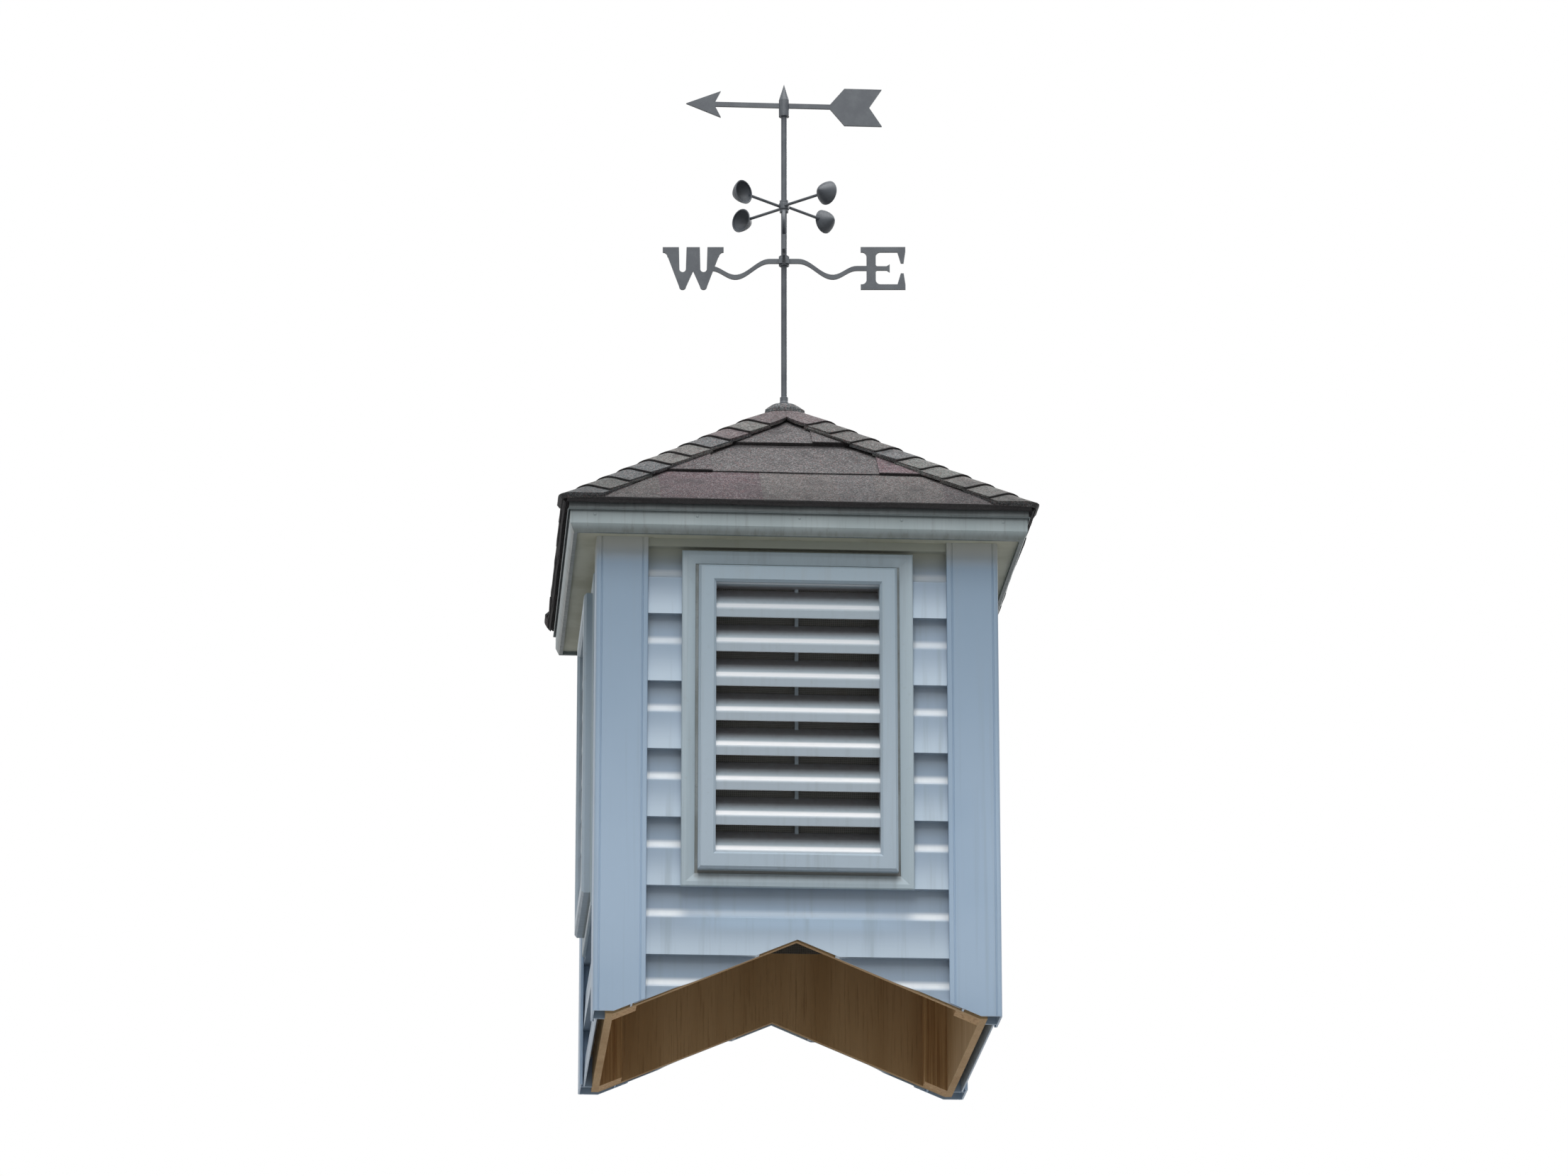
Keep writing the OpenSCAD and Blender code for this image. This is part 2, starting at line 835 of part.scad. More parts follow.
module compass_west() {
    color("dimgray")
        compass_arm(2, compass_reach - letter_w_w + 24)
            translate([compass_reach, 0]) mirror([1, 0]) letter_w();
}

module compass_south() {
    color("dimgray")
        compass_arm(3, compass_reach - letter_s_w / 2 - 4)
            translate([compass_reach, 0]) mirror([1, 0]) letter_s();
}

// A wind cup: a thin egg-shaped bowl that opens along +Y, its rim at the origin
module wind_cup() {
    steps = 10;
    outer = [for (k = [0:steps]) let (a = 90 * k / steps) [cup_r * sin(a), -cup_depth * cos(a)]];
    inner = [for (k = [steps:-1:0]) let (a = 90 * k / steps)
        [(cup_r - cup_t) * sin(a), -(cup_depth - cup_t) * cos(a)]];
    rotate([-90, 0, 0]) rotate_extrude() polygon(concat(outer, inner));
}

// Wind rotor: hub, four spokes and four cups that face the same way round
module wind_rotor() {
    spoke_r = 2.5;
    set_back = 4;
    spoke_start = rotor_hub_r - 3;
    spoke_end = cup_reach - cup_r + cup_t - touch;
    bore_r = rod_r + rotor_clearance;
    color("dimgray")
        translate([0, 0, apex_z + rotor_z])
            rotate([0, 0, rotor_turn]) {
                difference() {
                    cylinder(r = rotor_hub_r, h = rotor_hub_h, center = true);
                    cylinder(r = bore_r, h = 2 * rotor_hub_h, center = true);
                }
                for (k = [0:3])
                    rotate([0, 0, 90 * k]) {
                        translate([spoke_start, -set_back, 0])
                            rotate([0, 90, 0]) cylinder(r = spoke_r, h = spoke_end - spoke_start);
                        translate([cup_reach, 0, 0]) wind_cup();
                    }
            }
}

// Arrow: a flat shaft with a head and a forked tail, on a sleeve over the end of the rod
module arrow() {
    sleeve_r = rod_r + 4;
    sleeve_h = 40;
    half = arrow_l / 2;
    shaft = 4;
    head = [60, 24];
    tail = [90, 34];
    color("dimgray")
        translate([0, 0, apex_z + arrow_z])
            difference() {
                union() {
                    rotate([90, 0, 0])
                        linear_extrude(compass_t, center = true) {
                            square([2 * half - head.x, 2 * shaft], center = true);
                            polygon([
                                [-half, 0], [head.x - half, head.y],
                                [head.x - half - 12, 0], [head.x - half, -head.y]
                            ]);
                            polygon([
                                [half - tail.x, shaft], [half - tail.x + 25, tail.y],
                                [half, tail.y], [half - 22, 0], [half, -tail.y],
                                [half - tail.x + 25, -tail.y], [half - tail.x, -shaft]
                            ]);
                        }
                    rotate_extrude()
                        polygon([
                            [0, -sleeve_h / 2], [sleeve_r, -sleeve_h / 2], [sleeve_r, sleeve_h / 4],
                            [rod_r + 1, sleeve_h / 2], [0, sleeve_h]
                        ]);
                }
                translate([0, 0, -sleeve_h]) cylinder(r = rod_r + touch, h = sleeve_h);
            }
}

wall(0);  // wall_front
wall(1);  // wall_right
wall(2);  // wall_back
wall(3);  // wall_left
corner_studs();
siding(0);  // siding_front
siding(1);  // siding_right
siding(2);  // siding_back
siding(3);  // siding_left
corner_post(0);  // post_front_left
corner_post(1);  // post_front_right
corner_post(2);  // post_back_right
corner_post(3);  // post_back_left
vent_trim(0);  // vent_trim_front
vent_trim(1);  // vent_trim_right
vent_trim(2);  // vent_trim_back
vent_trim(3);  // vent_trim_left
louvre(0);  // louvre_front
louvre(1);  // louvre_right
louvre(2);  // louvre_back
louvre(3);  // louvre_left
insect_screens();
soffit();
fascia();
drip_edge();
roof_frame();
roof_deck();
shingles(0);  // shingles_front
shingles(1);  // shingles_right
shingles(2);  // shingles_back
shingles(3);  // shingles_left
hip_caps(0);  // hip_caps_front_left
hip_caps(1);  // hip_caps_front_right
hip_caps(2);  // hip_caps_back_right
hip_caps(3);  // hip_caps_back_left
apex_cap();
rod();
rod_socket();
compass_hub();
compass_south();
compass_east();
compass_north();
compass_west();
wind_rotor();
arrow();
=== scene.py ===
"""Looks of a garage cupola with its weathervane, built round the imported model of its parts."""

import math

import bpy
import numpy as np
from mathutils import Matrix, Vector


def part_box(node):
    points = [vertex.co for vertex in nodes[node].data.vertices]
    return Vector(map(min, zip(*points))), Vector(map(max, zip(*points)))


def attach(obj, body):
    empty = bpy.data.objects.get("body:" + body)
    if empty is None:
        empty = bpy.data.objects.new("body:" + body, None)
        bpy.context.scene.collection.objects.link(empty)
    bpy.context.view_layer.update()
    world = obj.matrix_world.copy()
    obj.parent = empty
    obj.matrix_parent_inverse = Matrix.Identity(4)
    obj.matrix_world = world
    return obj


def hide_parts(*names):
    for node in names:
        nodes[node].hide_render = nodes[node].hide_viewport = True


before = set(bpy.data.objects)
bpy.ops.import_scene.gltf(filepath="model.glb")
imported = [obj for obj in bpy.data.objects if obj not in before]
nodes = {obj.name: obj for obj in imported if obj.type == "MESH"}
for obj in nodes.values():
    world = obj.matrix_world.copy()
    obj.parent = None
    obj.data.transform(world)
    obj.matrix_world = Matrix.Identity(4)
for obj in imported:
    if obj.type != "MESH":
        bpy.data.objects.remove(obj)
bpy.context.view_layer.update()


# Sheathing and framing
# Four sheets of softwood plywood are nailed to a stud in each corner, with hip rafters and a
# plywood deck above. It is all bare wood, and shows from below and where an edge was cut.
class Wire:
    """A socket of a material. Arithmetic on wires adds Math nodes, so 1 - mask is a node too."""

    def __init__(self, tree, socket):
        self.tree = tree
        self.socket = socket

    def node(self, kind, settings, inputs, output=0):
        """Adds a node: its settings first, then its inputs. Inputs and the output that it gives
        are picked by name or number."""
        made = self.tree.nodes.new(kind)
        for name, value in settings.items():
            setattr(made, name, value)
        for name, value in inputs.items():
            if isinstance(value, Wire):
                self.tree.links.new(value.socket, made.inputs[name])
            else:
                made.inputs[name].default_value = value
        return Wire(self.tree, made.outputs[output])

    def maths(self, operation, *others):
        """One Math node on this wire and the numbers or wires that come after it."""
        return self.node("ShaderNodeMath", {"operation": operation}, dict(enumerate((self, *others))))

    def __add__(self, other):
        return self.maths("ADD", other)

    def __sub__(self, other):
        return self.maths("SUBTRACT", other)

    def __rsub__(self, other):
        return self.node("ShaderNodeMath", {"operation": "SUBTRACT"}, {0: other, 1: self})

    def __mul__(self, other):
        return self.maths("MULTIPLY", other)

    def __mod__(self, other):
        return self.maths("FLOORED_MODULO", other)

    def __abs__(self):
        return self.maths("ABSOLUTE")

    __radd__ = __add__
    __rmul__ = __mul__

    def rise(self, low, high):
        """0 up to low, 1 from high on, and an S-curve between them."""
        return self.node("ShaderNodeMapRange", {"interpolation_type": "SMOOTHSTEP"},
                         {0: self, 1: low, 2: high})

    def fall(self, low, high):
        """1 up to low, 0 from high on, and an S-curve between them."""
        return 1 - self.rise(low, high)

    def parts(self):
        """The X, Y and Z of a vector, as three wires."""
        split = self.node("ShaderNodeSeparateXYZ", {}, {0: self}).socket.node
        return [Wire(self.tree, output) for output in split.outputs]

    def stretched(self, x, y, z):
        """A vector with each part multiplied by its own number."""
        return self.node("ShaderNodeVectorMath", {"operation": "MULTIPLY"}, {0: self, 1: (x, y, z)})

    def noise(self, scale, detail=2.0, roughness=0.5):
        """Smooth noise from 0 to 1 over this vector, with about scale lumps to the metre."""
        sockets = {"Vector": self, "Scale": scale, "Detail": detail, "Roughness": roughness}
        return self.node("ShaderNodeTexNoise", {}, sockets)

    def over(self, under, colour):
        """The colour laid over another, with this wire as its mask."""
        return self.node("ShaderNodeMix", {"data_type": "RGBA"}, {0: self, 6: under, 7: colour}, 2)


def tone(red, green, blue):
    """Linear colour of a screen tone: ((c / 255 + 0.055) / 1.055) ** 2.4 for each of its parts."""
    return *[((c / 255 + 0.055) / 1.055) ** 2.4 for c in (red, green, blue)], 1.0


def new_material(name, specular, looks):
    """A Principled material. looks turns its Object coordinates into a wire for each socket that
    varies, and Relief among them is a height in metres, which goes through a Bump node."""
    material = bpy.data.materials.new(name)
    material.use_nodes = True
    tree = material.node_tree
    shader = tree.nodes["Principled BSDF"]
    shader.inputs["Specular IOR Level"].default_value = specular
    place = Wire(tree, tree.nodes.new("ShaderNodeTexCoord").outputs["Object"])
    for socket, wire in looks(place).items():
        if socket == "Relief":
            socket = "Normal"
            wire = wire.node("ShaderNodeBump", {}, {"Height": wire, "Distance": 1.0, "Strength": 1.0})
        tree.links.new(wire.socket, shader.inputs[socket])
    return material


def coat(material, *names):
    """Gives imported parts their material."""
    for name in names:
        for slot in nodes[name].material_slots:
            slot.material = material


def outward(place):
    """Distance of a point's wall from the cupola's axis: the larger of |X| and |Y|."""
    x, y, _ = place.parts()
    return abs(x).maths("MAXIMUM", abs(y))


def plywood_looks(place):
    """Grain drawn out along Z, broad bands of early and late wood, and glued layers at cut edges."""
    veneer = 0.0024
    bands = place.stretched(9, 9, 0.7).noise(1, 3, 0.6)
    grain = place.stretched(260, 260, 9).noise(1, 4, 0.6)
    layer = (outward(place) % veneer).rise(veneer * 0.42, veneer * 0.5)
    colour = bands.rise(0.3, 0.7).over(tone(176, 142, 98), tone(204, 172, 128))
    colour = (grain.rise(0.5, 0.75) * 0.55).over(colour, tone(132, 98, 62))
    colour = (layer * 0.25).over(colour, tone(120, 88, 56))
    return {"Base Color": colour, "Roughness": 0.62 + 0.2 * grain, "Relief": grain * 0.0002}


def framing_looks(place):
    """Straight planed grain, with darker late wood in lines a few millimetres apart."""
    drift = place.noise(6, 2)
    lines = place.stretched(150, 150, 2.5).noise(1, 3, 0.7)
    colour = lines.rise(0.35, 0.7).over(tone(204, 168, 118), tone(160, 118, 74))
    colour = (drift.rise(0.45, 0.8) * 0.4).over(colour, tone(140, 110, 82))
    return {"Base Color": colour, "Roughness": 0.55 + 0.2 * lines, "Relief": lines * 0.00015}


side_names = ("front", "right", "back", "left")
plywood = new_material("plywood", 0.3, plywood_looks)
framing = new_material("planed_softwood", 0.3, framing_looks)
coat(plywood, "roof_deck", *[f"wall_{side_name}" for side_name in side_names])
coat(framing, "corner_studs", "roof_frame")


# Lap siding
# Vinyl siding in 4 1/2 inch courses, each with a cove under the butt edge of the one above. It
# is snapped course on course, hangs in slots on nails, and its ends slip into the trim.
siding_course = 0.1143
first_butt = 0.014
cove_lip = 0.043
saddle_top = 0.13
vent_half = 0.185
siding_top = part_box("siding_front")[1].z
soffit_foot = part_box("soffit")[0].z


def sideways(place):
    """Distance of a point from the upright middle line of its wall: the smaller of |X| and |Y|."""
    x, y, _ = place.parts()
    return abs(x).maths("MINIMUM", abs(y))


def eave_shade(height):
    """0 low on the walls and 1 close under the eaves: a mask for painted shade from the eaves."""
    return height.rise(0.3, soffit_foot - 0.015)


def siding_looks(place):
    """Matt vinyl with a fine pressed grain and rain streaks. Each course has dust and painted shade under
    the butt edge above it, a painted highlight along the lip of its cove, which is cove_lip below that
    edge, and is painted paler down to its own butt edge, as painted light. The highlight is weaker
    under the eaves and under the vent, as painted shade. The courses under the vent are painted paler,
    as painted light, and a warm painted shade tint lies on the first course, under the eaves."""
    _, _, height = place.parts()
    across = sideways(place)
    below_butt = (siding_top - first_butt - height) % siding_course
    above_saddle = height.rise(saddle_top, saddle_top + 0.02)
    # Where the vent trim shades the courses under it: painted shade that weakens the painted highlight.
    vent_shade = above_saddle * across.fall(vent_half - 0.015, vent_half + 0.015)
    grain = place.stretched(7, 7, 260).noise(1, 4, 0.6)
    patches = place.noise(4, 3)
    streaks = place.stretched(55, 55, 2.2).noise(1, 3, 0.6)
    # Painted light: each course's face is painted paler from under its cove down to its butt edge.
    painted_face_light = below_butt.rise(cove_lip + 0.011, siding_course)
    # Painted light: the courses under the vent are painted paler.
    painted_light_under_vent = above_saddle * across.fall(0.1, 0.22) * below_butt.rise(cove_lip - 0.019, cove_lip + 0.002)
    # Dust and painted shade under the butt edge above each course.
    dust = below_butt.fall(0.006, cove_lip - 0.009) * (0.6 + 0.4 * place.noise(30, 3))
    # Painted highlight along the lip of each cove, weaker under the eaves and under the vent as painted
    # shade.
    painted_highlight = below_butt.rise(cove_lip - 0.01, cove_lip - 0.001)
    painted_highlight = painted_highlight * below_butt.fall(cove_lip + 0.002, cove_lip + 0.012)
    painted_highlight = painted_highlight * (1 - 0.45 * eave_shade(height)) * (1 - 0.7 * vent_shade)
    colour = patches.rise(0.35, 0.65).over(tone(150, 169, 188), tone(157, 175, 194))
    colour = painted_face_light.over(colour, tone(192, 209, 224))
    colour = (painted_light_under_vent * 0.7).over(colour, tone(176, 200, 222))
    colour = (streaks.rise(0.5, 0.78) * 0.4).over(colour, tone(140, 155, 164))
    colour = (dust * 0.3).over(colour, tone(134, 136, 134))
    colour = (painted_highlight * (0.65 + 0.3 * streaks)).over(colour, tone(242, 247, 250))
    # Warm painted shade tint on the first course, close under the soffit.
    colour = (height.rise(soffit_foot - 0.06, soffit_foot - 0.01) * 0.8).over(colour, tone(168, 168, 148))
    return {
        "Base Color": colour,
        "Roughness": 0.38 + 0.2 * streaks,
        "Relief": grain * 0.00012 + patches * 0.0006,
    }


siding_vinyl = new_material("siding_vinyl", 0.4, siding_looks)
coat(siding_vinyl, *[f"siding_{side_name}" for side_name in side_names])


# Corner posts
# Moulded vinyl angles with a bead down each edge, slightly glossier and cleaner than the siding.
# They are nailed through hidden fins, and run from the soffit down to the foot.
def post_looks(place):
    """Smooth vinyl with faint streaks and a slow waviness from the mould. It is painted darker towards the
    top as shade from the eaves, and a warm painted shade tint lies right under the eaves."""
    _, _, height = place.parts()
    streaks = place.stretched(70, 70, 1.6).noise(1, 3, 0.6)
    patches = place.noise(5, 2)
    colour = patches.rise(0.35, 0.65).over(tone(163, 186, 209), tone(170, 192, 214))
    # Painted shade: darker towards the top, under the eaves.
    colour = (height.rise(0.15, 0.75) * 0.85).over(colour, tone(131, 153, 174))
    colour = (streaks.rise(0.5, 0.78) * 0.35).over(colour, tone(142, 158, 172))
    # Warm painted shade tint right under the eaves.
    colour = (height.rise(soffit_foot - 0.05, soffit_foot - 0.005) * 0.75).over(colour, tone(200, 200, 190))
    return {
        "Base Color": colour,
        "Roughness": 0.34 + 0.16 * streaks,
        "Relief": patches * 0.0008 + place.noise(500, 1) * 0.00002,
    }


corner_names = ("front_left", "front_right", "back_right", "back_left")
post_vinyl = new_material("post_vinyl", 0.45, post_looks)
coat(post_vinyl, *[f"post_{corner_name}" for corner_name in corner_names])


# Louvred vents
# Each vent is one moulding of a raised frame and eight bent blades, set in a channel trim that
# takes the cut ends of the siding. Both are white, and dust with painted shade lies on the blades
# inside the frame.
frame_width = 0.0285
groove = 0.005
trim_depth = 0.330
blade_depth = 0.336
bend_depth = 0.327
dust_and_shade_depth = 0.305
rib_depth = 0.30175
rib_half = 0.003
frame_shadow_half = 0.168
louvre_low, louvre_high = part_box("louvre_front")
louvre_middle = (louvre_high.z + louvre_low.z) / 2
blade_half = louvre_high.x - frame_width - groove
opening_half = (louvre_high.z - louvre_low.z) / 2 - frame_width - groove


def vent_looks(place):
    """Moulded vinyl with a tone each for trim, frame and blades, painted darker towards the eaves as
    shade from them. The blades have a painted highlight along their bends, dust and painted shade
    thicken towards their backs, and a painted shadow of the frame lies on the trim under it."""
    _, _, height = place.parts()
    depth = outward(place)
    across = sideways(place)
    streaks = place.stretched(80, 80, 3).noise(1, 3, 0.6)
    specks = place.noise(90, 3, 0.6)
    proud = depth.rise(trim_depth + 0.0005, trim_depth + 0.002)
    blades = across.fall(blade_half - 0.0005, blade_half + 0.0005)
    blades = blades * abs(height - louvre_middle).fall(opening_half, opening_half + 0.001)
    rib = depth.fall(rib_depth - 0.00025, rib_depth + 0.00025)
    rib = rib * across.fall(rib_half - 0.0002, rib_half + 0.0002)
    # Dust and painted shade deeper in the blades, towards their backs, in a brown that paints a reflection
    # of the roof; the rib is left clean.
    dust = depth.fall(dust_and_shade_depth, bend_depth) * (1 - 0.85 * rib)
    # Painted shadow of the raised frame on the trim just under it.
    frame_shadow = height.rise(louvre_low.z - 0.012, louvre_low.z - 0.003)
    frame_shadow = frame_shadow * height.fall(louvre_low.z, louvre_low.z + 0.01) * (1 - proud)
    frame_shadow = frame_shadow * across.fall(frame_shadow_half - 0.003, frame_shadow_half + 0.003)
    # Painted highlight along the blades' bends, weaker higher up as painted shade from the eaves.
    bend = depth.rise(bend_depth - 0.002, bend_depth + 0.003)
    bend = bend * depth.fall(blade_depth - 0.002, blade_depth)
    painted_highlight = bend * blades * (1 - 0.4 * height.rise(0.4, 0.75))
    colour = proud.over(tone(171, 187, 196), tone(172, 188, 201))
    # Painted shade from the eaves, strongest on the raised frame.
    colour = (eave_shade(height) * (0.1 + 0.7 * proud)).over(colour, tone(146, 164, 176))
    colour = (blades * 0.5).over(colour, tone(162, 172, 180))
    colour = (streaks.rise(0.45, 0.75) * 0.4).over(colour, tone(150, 161, 168))
    colour = (specks.rise(0.6, 0.8) * 0.2).over(colour, tone(136, 140, 138))
    colour = (dust * (0.5 + 0.3 * specks)).over(colour, tone(120, 106, 102))
    colour = (frame_shadow * (0.4 + 0.3 * specks)).over(colour, tone(112, 115, 112))
    colour = (painted_highlight * (0.75 + 0.2 * streaks)).over(colour, tone(246, 247, 249))
    return {
        "Base Color": colour,
        "Roughness": 0.34 + 0.2 * streaks,
        "Relief": place.noise(6, 2) * 0.0006 + specks * 0.00004,
    }


vent_vinyl = new_material("vent_vinyl", 0.45, vent_looks)
for side_name in side_names:
    coat(vent_vinyl, f"vent_trim_{side_name}", f"louvre_{side_name}")


# Insect screens
# A grey woven mesh is stapled over each hole behind the louvre. The weave is too fine to model
# as wires, so its strands are relief and its holes a darker colour, which paints the shaded inside
# seen through them.
def screen_looks(place):
    """Two crossed sets of strands: sine waves of the distance sideways and of the height."""
    strand = 0.0018
    _, _, height = place.parts()
    warp = (sideways(place) * (math.tau / strand)).maths("SINE")
    weft = (height * (math.tau / strand)).maths("SINE")
    mesh = warp.maths("MAXIMUM", weft)
    # The holes' dark tone paints the shaded inside seen through the mesh.
    colour = mesh.rise(0.2, 0.8).over(tone(58, 56, 53), tone(134, 134, 129))
    colour = (place.noise(20, 3).rise(0.5, 0.8) * 0.4).over(colour, tone(108, 100, 90))
    return {"Base Color": colour, "Roughness": 0.7 + 0.2 * mesh, "Relief": mesh * 0.0002}


screen_mesh = new_material("screen_mesh", 0.3, screen_looks)
coat(screen_mesh, "insect_screens")


# Eaves
# A white soffit board, and a fascia wrapped in coated sheet with a folded lower lip, fixed with
# small painted nails. A bent drip edge laps over its top, and rain has left streaks on it.
fascia_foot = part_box("fascia")[0].z
fascia_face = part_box("fascia")[0].y


def fascia_looks(place):
    """Coated sheet: slow dents and thin rain streaks. Painted shade darkens the lower lip, which faces
    down, and dirt with painted shadow darkens the face under the shingles."""
    _, _, height = place.parts()
    above_foot = height - fascia_foot
    streaks = place.stretched(120, 120, 6).noise(1, 4, 0.65)
    dents = place.stretched(14, 14, 5).noise(1, 2)
    # Painted shade on the lower lip, which faces down.
    lip = above_foot.fall(0.002, 0.016)
    # Dirt and painted shadow of the shingles' overhang.
    under_shingles = above_foot.rise(0.014, 0.052)
    colour = dents.rise(0.3, 0.7).over(tone(152, 165, 168), tone(162, 174, 177))
    colour = (streaks.rise(0.5, 0.72) * 0.5).over(colour, tone(128, 133, 131))
    colour = (lip * (0.5 + 0.4 * streaks)).over(colour, tone(88, 92, 88))
    colour = (under_shingles * (0.8 + 0.2 * streaks)).over(colour, tone(55, 58, 58))
    return {"Base Color": colour, "Roughness": 0.35 + 0.25 * streaks, "Relief": dents * 0.0012}


def soffit_looks(place):
    """Painted board: warm dust in the shade, and fine brush-like lines along both ways."""
    clouds = place.noise(12, 4, 0.6)
    lines = place.stretched(30, 30, 300).noise(1, 2)
    colour = clouds.rise(0.35, 0.7).over(tone(190, 191, 175), tone(172, 172, 154))
    return {"Base Color": colour, "Roughness": 0.5 + 0.2 * clouds, "Relief": lines * 0.00008}


fascia_paint = new_material("fascia_paint", 0.5, fascia_looks)
soffit_paint = new_material("soffit_paint", 0.4, soffit_looks)
coat(fascia_paint, "fascia", "drip_edge")
coat(soffit_paint, "soffit")


def turned(points, quarters):
    """Points turned about Z by quarter turns, each of which takes X and Y to -Y and X."""
    for _ in range(quarters):
        points = np.stack([-points[..., 1], points[..., 0], points[..., 2]], -1)
    return points


def revolved(profile, columns):
    """A profile of radius and height carried round Z: x is r cos t, y is r sin t, z is the height."""
    radius, height = np.array(profile, float).T[:, :, None]
    angle = np.linspace(0, math.tau, columns, endpoint=False)[None, :]
    return np.stack([radius * np.cos(angle), radius * np.sin(angle), height + 0 * angle], -1)


def tube_skin(grid, capped):
    """A closed skin over a grid whose columns meet: its ends are capped, or its rows meet as well."""
    rows, columns = grid.shape[:2]
    number = np.arange(rows * columns).reshape(rows, columns)
    looped = number if capped else np.concatenate([number, number[:1]])
    looped = np.concatenate([looped, looped[:, :1]], 1)
    quads = np.stack([looped[:-1, :-1], looped[:-1, 1:], looped[1:, 1:], looped[1:, :-1]], -1)
    caps = [number[0, ::-1], number[-1]] if capped else []
    return {"points": grid.reshape(-1, 3), "faces": [*quads.reshape(-1, 4), *caps]}


def build_piece(name, skins, material, body="cupola", replaces=()):
    """Joins closed skins in one mesh. A skin holds points and faces, and may hold a tone, the colour
    of all its points, and a flat place for each point, which become an attribute and a UV map. An
    edge that turns by more than sharp_turn stays sharp."""
    sharp_turn = math.radians(35)
    starts = np.cumsum([0] + [len(skin["points"]) for skin in skins])
    points = np.concatenate([skin["points"] for skin in skins])
    faces = [(face + start).tolist() for skin, start in zip(skins, starts) for face in skin["faces"]]
    mesh = bpy.data.meshes.new(name)
    mesh.from_pydata(points, [], faces)
    mesh.shade_smooth()
    mesh.set_sharp_from_angle(angle=sharp_turn)
    if "tone" in skins[0]:
        tones = np.concatenate([np.tile(skin["tone"], (len(skin["points"]), 1)) for skin in skins])
        attribute = mesh.color_attributes.new("tone", "FLOAT_COLOR", "POINT")
        attribute.data.foreach_set("color", tones.ravel())
    if "flat" in skins[0]:
        flat = np.concatenate([skin["flat"] for skin in skins])
        corners = np.empty(len(mesh.loops), np.int32)
        mesh.loops.foreach_get("vertex_index", corners)
        mesh.uv_layers.new(name="flat").data.foreach_set("uv", flat[corners].ravel())
    mesh.materials.append(material)
    piece = bpy.data.objects.new(name, mesh)
    bpy.context.scene.collection.objects.link(piece)
    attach(piece, body)
    if replaces:
        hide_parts(*replaces)


nail_height = 0.818
nail_reach = 0.335
nails_a_side = 5
nail_radius = 0.0024
nail_profile = [[nail_radius, -0.0004], [nail_radius, 0.0004], [0.0018, 0.0009], [0.0007, 0.0011]]
nail_head = tube_skin(revolved(nail_profile, 10), True)
x, y, z = nail_head["points"].T
nails = []
for side in range(4):
    for along in np.linspace(-nail_reach, nail_reach, nails_a_side):
        placed = np.stack([x + along, fascia_face - z, y + nail_height], -1)
        nails.append({"points": turned(placed, side), "faces": nail_head["faces"]})
build_piece("fascia_nails", nails, fascia_paint)


# Groove bead and painted shade
# A pale grey bead fills the groove between each louvre's frame and its trim, and its colour paints the
# groove's shade line. It is run in soft and smoothed with a finger, so it dips in the middle and
# swells here and there.
bead_face = 0.3262
bead_back = 0.3125
bead_dip = 0.0009
bead_swell = 0.0003
bead_lap = 0.0002
bead_across = louvre_high.x - groove / 2
bead_up = (louvre_high.z - louvre_low.z - groove) / 2


def wander(random, places, size):
    """A smooth random line: the sum of five sines of growing frequency and falling size."""
    slowest = 22
    line = 0
    for wave in range(1, 6):
        line = line + np.sin(places * slowest * wave + random.uniform(0, math.tau)) * size / wave ** 1.2
    return line


def bead_skin(random):
    """A section carried round a rectangle. A point u out of the bead's middle runs on the rectangle
    that is u larger each way, and the face dips by bead_dip times 1 - (u / half the width)^2."""
    across = np.array([-1, -1, -0.6, -0.2, 0.2, 0.6, 1, 1]) * (groove / 2 + bead_lap)
    on_face = np.array([0, 1, 1, 1, 1, 1, 1, 0])
    lap = np.linspace(0, 4, 200, endpoint=False)
    quarter, share = np.divmod(lap, 1)
    run = 2 * share - 1
    end = np.ones_like(run)
    x = np.choose(quarter.astype(int), [run, end, -run, -end])[:, None]
    z = np.choose(quarter.astype(int), [-end, run, end, -run])[:, None]
    swell = wander(random, lap * 3, bead_swell)[:, None]
    dip = bead_dip * (1 - (across / across[-1]) ** 2)
    depth = np.where(on_face, bead_face - dip + swell, bead_back)
    height = louvre_middle + z * (bead_up + across)
    return tube_skin(np.stack([x * (bead_across + across), -depth, height], -1), False)


def groove_shade_looks(place):
    """Dust in its pores over a grey that paints the groove's shade, off-white at the top and darker towards
    the bottom as painted shadow of the frame.
    """
    _, _, height = place.parts()
    pores = place.noise(160, 3, 0.6)
    clouds = place.noise(14, 3)
    # A grey that paints the groove's shade.
    colour = clouds.rise(0.35, 0.7).over(tone(150, 157, 158), tone(126, 131, 129))
    # Painted shadow of the frame: darker towards the bottom.
    colour = height.fall(louvre_low.z, louvre_low.z + 0.03).over(colour, tone(118, 120, 118))
    colour = (pores.rise(0.55, 0.75) * 0.4).over(colour, tone(110, 110, 104))
    return {"Base Color": colour, "Roughness": 0.55 + 0.2 * pores, "Relief": pores * 0.0002}


groove_shade = new_material("groove_shade", 0.4, groove_shade_looks)
beads = []
for side in range(4):
    bead = bead_skin(np.random.default_rng(20 + side))
    bead["points"] = turned(bead["points"], side)
    beads.append(bead)
build_piece("vent_groove_shade", beads, groove_shade)


